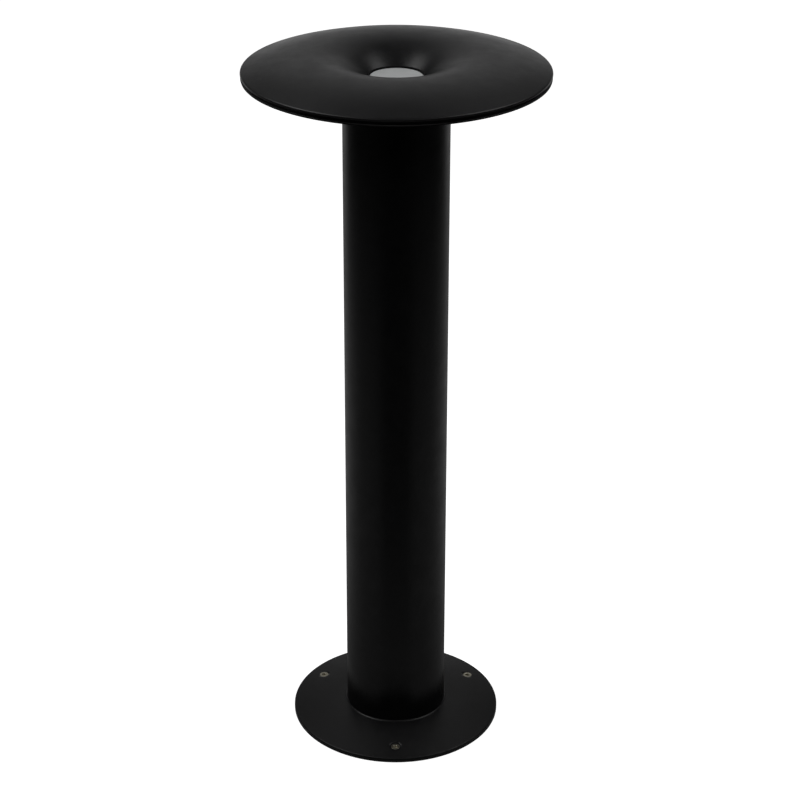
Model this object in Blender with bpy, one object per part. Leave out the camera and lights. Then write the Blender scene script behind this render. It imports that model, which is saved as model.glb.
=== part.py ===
"""Bollard luminaire: a cushion-shaped round head on a round post with a screwed base flange.

Metres, +Z up. The origin is the centre of the base flange's underside, where the post meets the ground.
"""

import math

import bmesh
import bpy
from mathutils import Matrix, Vector
from mathutils.geometry import interpolate_bezier

# Driving dimensions
TOTAL_HEIGHT = 0.700
HEAD_RADIUS = 0.1425
POST_RADIUS = 0.050
FLANGE_RADIUS = 0.105
GAP = 0.0003  # between pieces that touch

# Head shell
RIM_BOTTOM = TOTAL_HEIGHT - 0.020
RIM_HEIGHT = 0.008  # up to where the top surface starts
RIM_ROUNDING = 0.004  # a rolled edge, rounded above and below
RIM_WALL = 0.0048
RIM_SLOPE = 17.0  # degrees, of the top surface where it leaves the rim
RIM_PULL = 0.019  # how far the surface keeps that slope
CREST_RADIUS = 0.077
CREST_PULL_IN = 0.022  # how far the crest stays level, inwards and outwards
CREST_PULL_OUT = 0.026
THROAT_RADIUS = 0.0262
THROAT_Z = TOTAL_HEIGHT - 0.0195
THROAT_SLOPE = 38.0  # degrees, of the funnel where it reaches the lens
THROAT_PULL = 0.015
COLLAR_DEPTH = 0.0035
SHELL_WALL = 0.0025

# Lens and its gaskets
LENS_RADIUS = 0.025
LENS_TOP = TOTAL_HEIGHT - 0.019
LENS_EDGE_RADIUS = 0.0312
LENS_EDGE_THICKNESS = 0.0035
LENS_BEVEL = 0.001
LENS_CROWN = 0.0001
GASKET_THICKNESS = 0.0015
GASKET_INNER_RADIUS = 0.0265

# Post
POST_WALL = 0.003
POST_BORE = POST_RADIUS - POST_WALL
POST_TOP = RIM_BOTTOM
TOP_RING_HEIGHT = 0.006
TOP_RING_BORE = 0.0372

# Head core, a spigot in the post with a flange on the underplate
UNDERPLATE_THICKNESS = 0.0025
CORE_BOTTOM = TOTAL_HEIGHT - 0.034
CORE_SPIGOT_RADIUS = 0.0464
CORE_FLANGE_RADIUS = 0.058
CORE_FLANGE_THICKNESS = 0.003
CORE_WALL = 0.008  # of its neck round the gasket
CORE_BORE = LENS_EDGE_RADIUS + 0.0008
HEAD_SCREW_CIRCLE = 0.0415
HEAD_SCREW_HOLE = 0.0028
HOUSING_SCREW_CIRCLE = 0.0345
SMALL_SCREW_HOLE = 0.0018  # for the 3 mm screws of the light engine

# Base flange and anchor ring
FLANGE_RIM = 0.005
FLANGE_EDGE_ROUNDING = 0.0012
FLANGE_NECK_Z = 0.0125  # height of the crown where the fillet starts
FLANGE_FILLET = 0.002
FLANGE_FOOT_CHAMFER = 0.0006
FLANGE_RECESS_RADIUS = 0.0973
FLANGE_RECESS_DEPTH = 0.0033
FLANGE_SPIGOT_TOP = 0.024
FLANGE_SPIGOT_BORE = 0.0427
WEB_RADIUS = 0.033
WEB_BOTTOM = 0.006
WEB_TOP = 0.010
TUBE_SEAT = 0.007
FLANGE_SCREW_CIRCLE = 0.0875
FLANGE_SCREW_RADIUS = 0.0025
FLANGE_SCREW_HEAD = 0.0046
FLANGE_SCREW_KEY = 0.004
FLANGE_SCREW_FOOT = 0.0004
COUNTERSINK_DEPTH = 0.0025
COUNTERSINK_RADIUS = 0.0050
ANCHOR_RING_BORE = 0.036
ANCHOR_RING_THICKNESS = 0.003
ANCHOR_SLOT_CIRCLE = 0.066
ANCHOR_SLOT_WIDTH = 0.007
ANCHOR_SLOT_LENGTH = 0.016
RELIEF_INNER = 0.057  # room above the ground bolts' heads
RELIEF_OUTER = 0.075
RELIEF_TOP = 0.0066

# Light engine
HOUSING_RADIUS = 0.027
HOUSING_FLANGE_RADIUS = 0.0368
HOUSING_FLANGE_THICKNESS = 0.004
HOUSING_FLOOR = TOTAL_HEIGHT - 0.050
HOUSING_BOTTOM = TOTAL_HEIGHT - 0.060
HOUSING_WALL = 0.003
BOARD_RADIUS = 0.0215
BOARD_THICKNESS = 0.0016
BOARD_SCREW_CIRCLE = 0.017
CHIP_THICKNESS = 0.0012
CHIP_SIDE = 0.0135
SINK_RADIUS = 0.030
SINK_HEIGHT = 0.032
SINK_BASE = 0.006
SINK_FINS = 16
SINK_CORE = 0.0125
SINK_SCREW_CIRCLE = 0.0062
PAD_RADIUS = 0.0262
PAD_THICKNESS = 0.001
REFLECTOR_WALL = 0.0012

# Cable gland
GLAND_HOLE = 0.0103
GLAND_BORE = 0.0058
GLAND_FLATS = 0.024
GLAND_COLLAR = 0.0115
GLAND_COLLAR_HEIGHT = 0.006
GLAND_NECK = 0.0085
GLAND_NECK_HEIGHT = 0.009
CAP_FLATS = 0.0225
CAP_RADIUS = 0.0105
CAP_BORE = 0.0088
LOCKNUT_FLATS = 0.026
LOCKNUT_HEIGHT = 0.0045

# Gear on the tray
TRAY_WIDTH = 0.052
TRAY_SHEET = 0.002
TRAY_TOP = 0.226
TRAY_FACE_Y = 0.016  # front face of the upright
TRAY_FOOT_DEPTH = 0.016
TRAY_FOOT_Y = TRAY_FACE_Y + 0.009
TRAY_SCREWS_X = (-0.016, 0.016)
GEAR_SCREW_RADIUS = 0.002
GEAR_SCREW_HOLE = 0.0023
DRIVER_SIZE = (0.042, 0.024, 0.110)
DRIVER_BOTTOM = 0.096
DRIVER_EAR = 0.003  # thickness of its screwed ears
DRIVER_SCREWS_Z = (DRIVER_BOTTOM - 0.006, DRIVER_BOTTOM + DRIVER_SIZE[2] + 0.006)
TERMINAL_SIZE = (0.034, 0.016, 0.018)
TERMINAL_BOTTOM = 0.058
TERMINAL_SCREW_Z = TERMINAL_BOTTOM + TERMINAL_SIZE[2] / 2.0
TERMINAL_SCREW_SEAT = 0.005  # from the block's back
TERMINAL_PITCH = 0.011
EARTH_X = 0.019
EARTH_Z = 0.044
EARTH_WASHER = 0.0008
LEAD_RADIUS = 0.002
LEAD_WALL_DISTANCE = 0.0425  # from the post's axis to the lead where the clips hold it
LEAD_CLIPS_Z = (0.340, 0.500)
LEAD_ENTRY_Z = TOTAL_HEIGHT - 0.0438

# Facets round a full turn
LARGE_ROUND = 48
MIDDLE_ROUND = 32
SMALL_ROUND = 16
TINY_ROUND = 12

THREE_WAYS = (-90.0, 30.0, 150.0)
THREE_BETWEEN = (-30.0, 90.0, 210.0)
BOARD_SCREWS = (40.0, 220.0)
SINK_SCREWS = (20.0, 200.0)


def clear_scene():
    for thing in list(bpy.data.objects):
        bpy.data.objects.remove(thing, do_unlink=True)


def make_material(name, colour, roughness, metallic):
    material = bpy.data.materials.new(name)
    material.use_nodes = True
    shader = material.node_tree.nodes["Principled BSDF"]
    shader.inputs["Base Color"].default_value = (*colour, 1.0)
    shader.inputs["Roughness"].default_value = roughness
    shader.inputs["Metallic"].default_value = metallic
    return material


def make_materials():
    """Each finish by a short key: base colour, roughness, metallic."""
    finishes = {
        "black_coat": ((0.012, 0.012, 0.013), 0.55, 0.0),
        "stainless": ((0.62, 0.58, 0.48), 0.3, 1.0),
        "zinc_steel": ((0.55, 0.57, 0.58), 0.42, 1.0),
        "bare_aluminium": ((0.75, 0.75, 0.76), 0.38, 1.0),
        "frosted_glass": ((0.82, 0.84, 0.84), 0.5, 0.0),
        "silicone": ((0.05, 0.05, 0.05), 0.7, 0.0),
        "white_plastic": ((0.85, 0.85, 0.83), 0.45, 0.0),
        "black_plastic": ((0.02, 0.02, 0.02), 0.5, 0.0),
        "board": ((0.78, 0.8, 0.78), 0.4, 0.0),
        "phosphor": ((0.9, 0.72, 0.2), 0.5, 0.0),
        "brass": ((0.75, 0.58, 0.25), 0.3, 1.0),
        "lead_sheath": ((0.04, 0.04, 0.045), 0.55, 0.0),
    }
    return {name: make_material(name, *values) for name, values in finishes.items()}


def add_object(name, bm, finish, sharp_angle=35.0):
    """Turn a bmesh into a named object of the scene, shaded smooth except at real edges."""
    bmesh.ops.recalc_face_normals(bm, faces=bm.faces)
    mesh = bpy.data.meshes.new(name)
    bm.to_mesh(mesh)
    bm.free()
    mesh.shade_smooth()
    mesh.set_sharp_from_angle(angle=math.radians(sharp_angle))
    thing = bpy.data.objects.new(name, mesh)
    bpy.context.scene.collection.objects.link(thing)
    if finish is not None:
        mesh.materials.append(MATERIALS[finish])
    return thing


def arc(centre, radius, start, end, steps):
    """Points of a circle arc in the (radius, height) plane, angles in degrees from +radius."""
    angles = [math.radians(start + (end - start) * i / steps) for i in range(steps + 1)]
    return [(centre[0] + radius * math.cos(a), centre[1] + radius * math.sin(a)) for a in angles]


def bezier(start, start_handle, end_handle, end, points):
    corners = [Vector(corner).to_3d() for corner in (start, start_handle, end_handle, end)]
    return [(p.x, p.y) for p in interpolate_bezier(*corners, points)]


def offset_line(line, distance):
    """The same line moved to the right of its direction of travel."""
    moved = []
    for i, (r, z) in enumerate(line):
        before = line[max(i - 1, 0)]
        after = line[min(i + 1, len(line) - 1)]
        along = Vector((after[0] - before[0], after[1] - before[1])).normalized()
        moved.append((r + along.y * distance, z - along.x * distance))
    return moved


def lathe(name, outline, finish, segments=MIDDLE_ROUND):
    """Turn (radius, height) points about Z. The outline closes on itself, or starts and ends on the axis."""
    bm = bmesh.new()
    verts = [bm.verts.new((r, 0.0, z)) for r, z in outline]
    edges = [bm.edges.new(pair) for pair in zip(verts, verts[1:])]
    if outline[0][0] > 0.0:
        edges.append(bm.edges.new((verts[-1], verts[0])))
    bmesh.ops.spin(
        bm,
        geom=verts + edges,
        cent=(0.0, 0.0, 0.0),
        axis=(0.0, 0.0, 1.0),
        angle=2.0 * math.pi,
        steps=segments,
        use_merge=True,
    )
    bmesh.ops.remove_doubles(bm, verts=bm.verts, dist=1e-6)
    return add_object(name, bm, finish)


def ring(name, inner, outer, low, high, finish, segments=MIDDLE_ROUND, chamfer=0.0):
    """A flat ring with its two outer edges chamfered."""
    outline = [(inner, low), (outer - chamfer, low)]
    if chamfer:
        outline.append((outer, low + chamfer))
    outline.append((outer, high - chamfer))
    if chamfer:
        outline.append((outer - chamfer, high))
    outline.append((inner, high))
    return lathe(name, outline, finish, segments)


def disc(name, radius, low, high, finish, segments=MIDDLE_ROUND, chamfer=0.0):
    """A solid round piece with its two edges chamfered."""
    outline = [(0.0, low), (radius - chamfer, low)]
    if chamfer:
        outline.append((radius, low + chamfer))
    outline.append((radius, high - chamfer))
    if chamfer:
        outline.append((radius - chamfer, high))
    outline.append((0.0, high))
    return lathe(name, outline, finish, segments)


def prism(name, sides, across_flats, low, high, finish):
    """An upright prism with regular sides."""
    bm = bmesh.new()
    corner_radius = across_flats / 2.0 / math.cos(math.pi / sides)
    bmesh.ops.create_cone(
        bm,
        cap_ends=True,
        segments=sides,
        radius1=corner_radius,
        radius2=corner_radius,
        depth=high - low,
        matrix=Matrix.Translation((0.0, 0.0, (low + high) / 2.0)),
    )
    return add_object(name, bm, finish)


def block(name, low, high, finish, bevel=0.0):
    """An upright box between two corners, with its edges rounded."""
    bm = bmesh.new()
    size = Vector(high) - Vector(low)
    centre = (Vector(high) + Vector(low)) / 2.0
    bmesh.ops.create_cube(bm, size=1.0, matrix=Matrix.Translation(centre) @ Matrix.Diagonal((*size, 1.0)))
    if bevel:
        bmesh.ops.bevel(bm, geom=bm.edges[:], offset=bevel, segments=2, profile=0.5, affect="EDGES")
    return add_object(name, bm, finish)


def place(thing, distance=0.0, degrees=0.0, z=0.0):
    """Move a piece out along its bearing from the Z axis, and up."""
    angle = math.radians(degrees)
    thing.location = (distance * math.cos(angle), distance * math.sin(angle), z)
    thing.rotation_euler = (0.0, 0.0, angle)
    return thing


def combine(target, other, operation):
    """Boolean a helper into a piece; the helper is kept out of the model."""
    other.hide_render = True
    other.display_type = "WIRE"
    modifier = target.modifiers.new(other.name, "BOOLEAN")
    modifier.operation = operation
    modifier.solver = "EXACT"
    modifier.object = other


def cut(target, cutter):
    combine(target, cutter, "DIFFERENCE")


def add(target, extra):
    combine(target, extra, "UNION")


def drill(target, radius, low, high, distance=0.0, degrees=0.0):
    sides = TINY_ROUND if radius < 0.003 else SMALL_ROUND
    hole = disc(f"{target.name}_hole", radius, low, high, None, sides)
    cut(target, place(hole, distance, degrees))


def socket_screw(name, thread_radius, length, head_radius, head_height, key, finish):
    """A cap screw that points up: its head's underside is at z = 0 and its shank runs up to the length."""
    outline = [
        (0.0, -head_height),
        (head_radius, -head_height),
        (head_radius, 0.0),
        (thread_radius, 0.0),
        (thread_radius, length),
        (0.0, length),
    ]
    screw = lathe(name, outline, finish, TINY_ROUND)
    depth = head_height * 0.55
    cut(screw, prism(f"{name}_key", 6, key, -head_height - 0.001, -head_height + depth, None))
    return screw


def share_place(screw, distance, degrees, z):
    """Place a screw together with the cutter of its key."""
    for thing in [screw] + [m.object for m in screw.modifiers]:
        place(thing, distance, degrees, z)
    return screw


def crown_height(radius):
    """Height of the flange's crowned top at a distance from the axis."""
    line = crown_line()
    for (r_in, z_in), (r_out, z_out) in zip(line, line[1:]):
        if r_in <= radius <= r_out:
            return z_in + (z_out - z_in) * (radius - r_in) / (r_out - r_in)
    return FLANGE_RIM


def crown_line():
    """The flange's top from the end of its fillet out to the rim's rounding."""
    start = (POST_RADIUS + GAP + FLANGE_FILLET, FLANGE_NECK_Z)
    end = (FLANGE_RADIUS - FLANGE_EDGE_ROUNDING, FLANGE_RIM)
    span = end[0] - start[0]
    fall = start[1] - end[1]
    start_handle = (start[0] + span * 0.35, start[1] - fall * 0.2)
    end_handle = (end[0] - span * 0.3, end[1] + fall * 0.35)
    return bezier(start, start_handle, end_handle, end, 6)


def build_base_flange():
    neck = POST_RADIUS + GAP
    fillet_centre = (neck + FLANGE_FILLET, FLANGE_NECK_Z + FLANGE_FILLET)
    edge_centre = (FLANGE_RADIUS - FLANGE_EDGE_ROUNDING, FLANGE_RIM - FLANGE_EDGE_ROUNDING)
    outline = [(neck, TUBE_SEAT - GAP)]
    outline += arc(fillet_centre, FLANGE_FILLET, 180.0, 270.0, 4)
    outline += crown_line()[1:-1]
    outline += arc(edge_centre, FLANGE_EDGE_ROUNDING, 90.0, 0.0, 2)
    outline += [
        (FLANGE_RADIUS, FLANGE_FOOT_CHAMFER),
        (FLANGE_RADIUS - FLANGE_FOOT_CHAMFER, 0.0),
        (FLANGE_RECESS_RADIUS, 0.0),
        (FLANGE_RECESS_RADIUS, FLANGE_RECESS_DEPTH),
        (RELIEF_OUTER, FLANGE_RECESS_DEPTH),
        (RELIEF_OUTER, RELIEF_TOP),
        (RELIEF_INNER, RELIEF_TOP),
        (RELIEF_INNER, FLANGE_RECESS_DEPTH),
        (WEB_RADIUS, FLANGE_RECESS_DEPTH),
        (WEB_RADIUS, WEB_BOTTOM),
        (GLAND_HOLE, WEB_BOTTOM),
        (GLAND_HOLE, WEB_TOP),
        (FLANGE_SPIGOT_BORE, WEB_TOP),
        (FLANGE_SPIGOT_BORE, FLANGE_SPIGOT_TOP),
        (POST_BORE - GAP - 0.001, FLANGE_SPIGOT_TOP),
        (POST_BORE - GAP, FLANGE_SPIGOT_TOP - 0.001),
        (POST_BORE - GAP, TUBE_SEAT - GAP),
    ]
    flange = lathe("base_flange", outline, "black_coat", LARGE_ROUND)
    head_top = crown_height(FLANGE_SCREW_CIRCLE)
    for number, degrees in enumerate(THREE_WAYS, 1):
        countersink = [
            (0.0, 0.0),
            (FLANGE_SCREW_RADIUS + GAP, 0.0),
            (FLANGE_SCREW_RADIUS + GAP, head_top - COUNTERSINK_DEPTH),
            (COUNTERSINK_RADIUS, head_top - GAP),
            (COUNTERSINK_RADIUS, head_top + COUNTERSINK_DEPTH),
            (0.0, head_top + COUNTERSINK_DEPTH),
        ]
        tool = lathe(f"countersink_{number}", countersink, None, SMALL_ROUND)
        cut(flange, place(tool, FLANGE_SCREW_CIRCLE, degrees))
    for x in TRAY_SCREWS_X:
        tool = disc("flange_tray_hole", GEAR_SCREW_HOLE, 0.0, 0.02, None, SMALL_ROUND)
        tool.location = (x, TRAY_FOOT_Y, 0.0)
        cut(flange, tool)
        pocket = disc("flange_tray_pocket", 0.0042, 0.0, WEB_BOTTOM + 0.0002, None, SMALL_ROUND)
        pocket.location = (x, TRAY_FOOT_Y, 0.0)
        cut(flange, pocket)


def build_flange_screws():
    head_top = crown_height(FLANGE_SCREW_CIRCLE) - GAP
    for number, degrees in enumerate(THREE_WAYS, 1):
        outline = [
            (0.0, FLANGE_SCREW_FOOT),
            (FLANGE_SCREW_RADIUS - 0.0004, FLANGE_SCREW_FOOT),
            (FLANGE_SCREW_RADIUS, FLANGE_SCREW_FOOT + 0.0004),
            (FLANGE_SCREW_RADIUS, head_top - COUNTERSINK_DEPTH),
            (FLANGE_SCREW_HEAD, head_top - 0.0004),
            (FLANGE_SCREW_HEAD, head_top),
            (0.0, head_top),
        ]
        name = f"flange_screw_{number}"
        screw = lathe(name, outline, "stainless", SMALL_ROUND)
        cut(screw, prism(f"{name}_key", 6, FLANGE_SCREW_KEY, head_top - 0.0018, head_top + 0.001, None))
        share_place(screw, FLANGE_SCREW_CIRCLE, degrees, 0.0)


def build_anchor_ring():
    anchor = ring(
        "anchor_ring",
        ANCHOR_RING_BORE,
        FLANGE_RECESS_RADIUS - GAP,
        0.0,
        ANCHOR_RING_THICKNESS,
        "zinc_steel",
        LARGE_ROUND,
        chamfer=0.0003,
    )
    for degrees in THREE_WAYS:
        drill(anchor, FLANGE_SCREW_RADIUS + GAP, -0.001, 0.005, FLANGE_SCREW_CIRCLE, degrees)
    for degrees in THREE_BETWEEN:
        cut(anchor, slot_cutter(degrees))


def slot_cutter(degrees):
    """A round-ended slot along the ring's circumference."""
    bm = bmesh.new()
    straight = (ANCHOR_SLOT_LENGTH - ANCHOR_SLOT_WIDTH) / 2.0
    outline = arc((0.0, straight), ANCHOR_SLOT_WIDTH / 2.0, 0.0, 180.0, 8)
    outline += arc((0.0, -straight), ANCHOR_SLOT_WIDTH / 2.0, 180.0, 360.0, 8)
    face = bm.faces.new([bm.verts.new((x, y, -0.001)) for x, y in outline])
    raised = bmesh.ops.extrude_face_region(bm, geom=[face])["geom"]
    top = [v for v in raised if isinstance(v, bmesh.types.BMVert)]
    bmesh.ops.translate(bm, verts=top, vec=(0.0, 0.0, 0.006))
    return place(add_object("anchor_slot", bm, None), ANCHOR_SLOT_CIRCLE, degrees)


def build_post():
    outline = [
        (POST_BORE, TUBE_SEAT),
        (POST_RADIUS, TUBE_SEAT),
        (POST_RADIUS, POST_TOP - 0.0005),
        (POST_RADIUS - 0.0005, POST_TOP),
        (POST_BORE, POST_TOP),
    ]
    lathe("post_tube", outline, "black_coat", LARGE_ROUND)
    top = CORE_BOTTOM - GAP
    low = top - TOP_RING_HEIGHT
    top_ring = ring("post_top_ring", TOP_RING_BORE, POST_BORE - GAP, low, top, "bare_aluminium")
    for degrees in THREE_WAYS:
        drill(top_ring, HEAD_SCREW_HOLE, top - 0.02, top + 0.01, HEAD_SCREW_CIRCLE, degrees)


def head_surface():
    """The shell's visible top as two curves: crest to throat, and crest to rim."""
    crest = (CREST_RADIUS, TOTAL_HEIGHT)
    throat_angle = math.radians(THROAT_SLOPE)
    throat_rise = (THROAT_PULL * math.cos(throat_angle), THROAT_PULL * math.sin(throat_angle))
    throat = (THROAT_RADIUS, THROAT_Z)
    throat_handle = (THROAT_RADIUS + throat_rise[0], THROAT_Z + throat_rise[1])
    inner = bezier(throat, throat_handle, (CREST_RADIUS - CREST_PULL_IN, TOTAL_HEIGHT), crest, 10)
    rim_angle = math.radians(RIM_SLOPE)
    rim_out = (math.sin(rim_angle), math.cos(rim_angle))
    rim_centre = (HEAD_RADIUS - RIM_ROUNDING, RIM_BOTTOM + RIM_HEIGHT - RIM_ROUNDING)
    rim = (rim_centre[0] + RIM_ROUNDING * rim_out[0], rim_centre[1] + RIM_ROUNDING * rim_out[1])
    rim_handle = (rim[0] - RIM_PULL * rim_out[1], rim[1] + RIM_PULL * rim_out[0])
    outer = bezier(crest, (CREST_RADIUS + CREST_PULL_OUT, TOTAL_HEIGHT), rim_handle, rim, 7)
    return inner, outer, rim_centre


def build_head_shell():
    inner, outer, rim_centre = head_surface()
    collar_bottom = THROAT_Z - COLLAR_DEPTH
    collar_radius = THROAT_RADIUS + SHELL_WALL
    rim_inner = HEAD_RADIUS - RIM_WALL
    top = inner + outer[1:]
    rim = arc(rim_centre, RIM_ROUNDING, 90.0 - RIM_SLOPE, -90.0, 7)
    lining = [p for p in offset_line(top, SHELL_WALL) if collar_radius < p[0] < rim_inner]
    outline = [(THROAT_RADIUS, collar_bottom)] + top + rim[1:]
    outline += [(rim_inner, RIM_BOTTOM), (rim_inner, lining[-1][1])]
    outline += lining[::-2]
    outline += [(collar_radius, lining[0][1]), (collar_radius, collar_bottom)]
    lathe("head_shell", outline, "black_coat", LARGE_ROUND)


def build_head_underplate():
    low = RIM_BOTTOM + GAP
    ring(
        "head_underplate",
        POST_BORE,
        HEAD_RADIUS - RIM_WALL - GAP,
        low,
        low + UNDERPLATE_THICKNESS,
        "black_coat",
        LARGE_ROUND,
    )


def build_head_core():
    """Spigot in the post, flange on the underplate, and a seat for the upper gasket inside."""
    flange_low = RIM_BOTTOM + UNDERPLATE_THICKNESS + 2.0 * GAP
    flange_high = flange_low + CORE_FLANGE_THICKNESS
    gasket_seat = THROAT_Z - COLLAR_DEPTH
    collar_radius = THROAT_RADIUS + SHELL_WALL
    outline = [
        (CORE_BORE, CORE_BOTTOM),
        (CORE_SPIGOT_RADIUS - 0.001, CORE_BOTTOM),
        (CORE_SPIGOT_RADIUS, CORE_BOTTOM + 0.001),
        (CORE_SPIGOT_RADIUS, flange_low),
        (CORE_FLANGE_RADIUS, flange_low),
        (CORE_FLANGE_RADIUS, flange_high),
        (collar_radius + CORE_WALL + 0.004, flange_high),
        (collar_radius + CORE_WALL, gasket_seat + 0.003),
        (collar_radius + GAP, gasket_seat + 0.0015),
        (collar_radius + GAP, gasket_seat),
        (CORE_BORE, gasket_seat),
    ]
    core = lathe("head_core", outline, "bare_aluminium", MIDDLE_ROUND)
    for degrees in THREE_WAYS:
        drill(core, HEAD_SCREW_HOLE, CORE_BOTTOM - 0.01, CORE_BOTTOM + 0.013, HEAD_SCREW_CIRCLE, degrees)
    for degrees in THREE_BETWEEN:
        drill(core, SMALL_SCREW_HOLE, CORE_BOTTOM - 0.01, CORE_BOTTOM + 0.008, HOUSING_SCREW_CIRCLE, degrees)


def build_head_fixings():
    washer_top = CORE_BOTTOM - GAP - TOP_RING_HEIGHT - GAP
    washer_low = washer_top - 0.001
    washer_size = (HEAD_SCREW_HOLE, 0.0045, washer_low, washer_top)
    for number, degrees in enumerate(THREE_WAYS, 1):
        washer = ring(f"head_washer_{number}", *washer_size, "zinc_steel", SMALL_ROUND)
        place(washer, HEAD_SCREW_CIRCLE, degrees)
        screw = socket_screw(f"head_screw_{number}", 0.0025, 0.018, 0.0042, 0.005, 0.004, "zinc_steel")
        share_place(screw, HEAD_SCREW_CIRCLE, degrees, washer_low - GAP)
    screw_seat = CORE_BOTTOM - GAP - HOUSING_FLANGE_THICKNESS - GAP
    for number, degrees in enumerate(THREE_BETWEEN, 1):
        screw = socket_screw(f"housing_screw_{number}", 0.0015, 0.010, 0.0022, 0.002, 0.002, "zinc_steel")
        share_place(screw, HOUSING_SCREW_CIRCLE, degrees, screw_seat)


def build_lens():
    edge_top = THROAT_Z - COLLAR_DEPTH - GASKET_THICKNESS - 2.0 * GAP
    edge_low = edge_top - LENS_EDGE_THICKNESS
    outline = [
        (0.0, edge_low),
        (LENS_EDGE_RADIUS, edge_low),
        (LENS_EDGE_RADIUS, edge_top),
        (LENS_RADIUS, edge_top),
        (LENS_RADIUS, LENS_TOP - LENS_BEVEL),
        (LENS_RADIUS - LENS_BEVEL, LENS_TOP - LENS_BEVEL * 0.35),
        (LENS_RADIUS * 0.6, LENS_TOP - LENS_CROWN),
        (0.0, LENS_TOP),
    ]
    lathe("lens", outline, "frosted_glass", MIDDLE_ROUND)
    gasket = (GASKET_INNER_RADIUS, LENS_EDGE_RADIUS)
    upper = edge_top + GAP
    lower = edge_low - GAP - GASKET_THICKNESS
    ring("lens_gasket_upper", *gasket, upper, upper + GASKET_THICKNESS, "silicone")
    ring("lens_gasket_lower", *gasket, lower, lower + GASKET_THICKNESS, "silicone")
    return lower - GAP


def build_led_housing(collar_top):
    """A cup with a flange under the core, and a collar that presses the lower gasket up."""
    flange_top = CORE_BOTTOM - GAP
    flange_low = flange_top - HOUSING_FLANGE_THICKNESS
    bore = HOUSING_RADIUS - HOUSING_WALL
    outline = [
        (0.0, HOUSING_BOTTOM),
        (HOUSING_RADIUS, HOUSING_BOTTOM),
        (HOUSING_RADIUS, flange_low),
        (HOUSING_FLANGE_RADIUS, flange_low),
        (HOUSING_FLANGE_RADIUS, flange_top),
        (LENS_EDGE_RADIUS, flange_top),
        (LENS_EDGE_RADIUS, collar_top),
        (bore, collar_top),
        (bore, HOUSING_FLOOR),
        (0.0, HOUSING_FLOOR),
    ]
    housing = lathe("led_housing", outline, "bare_aluminium", MIDDLE_ROUND)
    for degrees in THREE_BETWEEN:
        drill(housing, SMALL_SCREW_HOLE, flange_low - 0.005, flange_top + GAP, HOUSING_SCREW_CIRCLE, degrees)
    entry = disc("housing_lead_hole", 0.0032, 0.0, 0.02, None, SMALL_ROUND)
    entry.rotation_euler = (math.radians(-90.0), 0.0, 0.0)
    entry.location = (0.0, bore - 0.004, LEAD_ENTRY_Z)
    cut(housing, entry)
    return housing


def build_light_source(housing, collar_top):
    board_low = HOUSING_FLOOR + GAP
    board_top = board_low + BOARD_THICKNESS
    board = disc("led_board", BOARD_RADIUS, board_low, board_top, "board")
    chip_low = board_top + GAP
    chip_top = chip_low + CHIP_THICKNESS
    half = CHIP_SIDE / 2.0
    block("led_chip", (-half, -half, chip_low), (half, half, chip_top), "phosphor", 0.0003)
    build_reflector(chip_top + GAP, collar_top - 0.0005)
    for number, degrees in enumerate(BOARD_SCREWS, 1):
        bearing = (BOARD_SCREW_CIRCLE, degrees)
        drill(board, SMALL_SCREW_HOLE, board_low - 0.01, board_top + 0.01, *bearing)
        drill(housing, SMALL_SCREW_HOLE, HOUSING_FLOOR - 0.004, HOUSING_FLOOR + 0.004, *bearing)
        outline = [
            (0.0, HOUSING_FLOOR - 0.0035),
            (0.0015, HOUSING_FLOOR - 0.0035),
            (0.0015, board_top + GAP),
            (0.0026, board_top + GAP),
            (0.0026, board_top + GAP + 0.001),
            (0.0018, board_top + GAP + 0.0016),
            (0.0, board_top + GAP + 0.0016),
        ]
        place(lathe(f"board_screw_{number}", outline, "zinc_steel", TINY_ROUND), *bearing)


def build_reflector(low, high):
    """A bell from round the chip out to the cup's wall."""
    narrow = CHIP_SIDE / math.sqrt(2.0) + 0.0005
    wide = HOUSING_RADIUS - HOUSING_WALL - 0.0008
    lip = wide - REFLECTOR_WALL
    low_handle = (narrow + 0.0035, low + 0.008)
    high_handle = (lip - 0.0018, high - 0.005)
    curve = bezier((narrow, low), low_handle, high_handle, (lip, high), 5)
    outside = [p for p in offset_line(curve, REFLECTOR_WALL) if p[1] > low and p[0] < wide]
    outline = curve + [(wide, high)] + outside[::-1] + [(narrow + REFLECTOR_WALL, low)]
    lathe("reflector", outline, "white_plastic")


def build_heat_sink(housing):
    pad_top = HOUSING_BOTTOM - GAP
    pad_low = pad_top - PAD_THICKNESS
    pad = disc("thermal_pad", PAD_RADIUS, pad_low, pad_top, "silicone")
    sink_top = pad_low - GAP
    sink_low = sink_top - SINK_HEIGHT
    sink = disc("heat_sink", SINK_RADIUS, sink_low, sink_top, "bare_aluminium")
    for i in range(SINK_FINS):
        low = (SINK_CORE, -0.0020, sink_low - 0.001)
        high = (SINK_RADIUS + 0.002, 0.0020, sink_top - SINK_BASE)
        gap = block(f"sink_gap_{i}", low, high, None)
        cut(sink, place(gap, 0.0, 360.0 * (i + 0.5) / SINK_FINS))
    for number, degrees in enumerate(SINK_SCREWS, 1):
        bearing = (SINK_SCREW_CIRCLE, degrees)
        drill(sink, SMALL_SCREW_HOLE, sink_low - 0.01, sink_top + 0.01, *bearing)
        drill(pad, SMALL_SCREW_HOLE, pad_low - 0.01, pad_top + 0.01, *bearing)
        drill(housing, SMALL_SCREW_HOLE, HOUSING_BOTTOM - 0.01, HOUSING_BOTTOM + 0.005, *bearing)
        length = SINK_HEIGHT + 0.0055
        screw = socket_screw(f"sink_screw_{number}", 0.0015, length, 0.0027, 0.003, 0.0025, "zinc_steel")
        share_place(screw, *bearing, sink_low - GAP)


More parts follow.
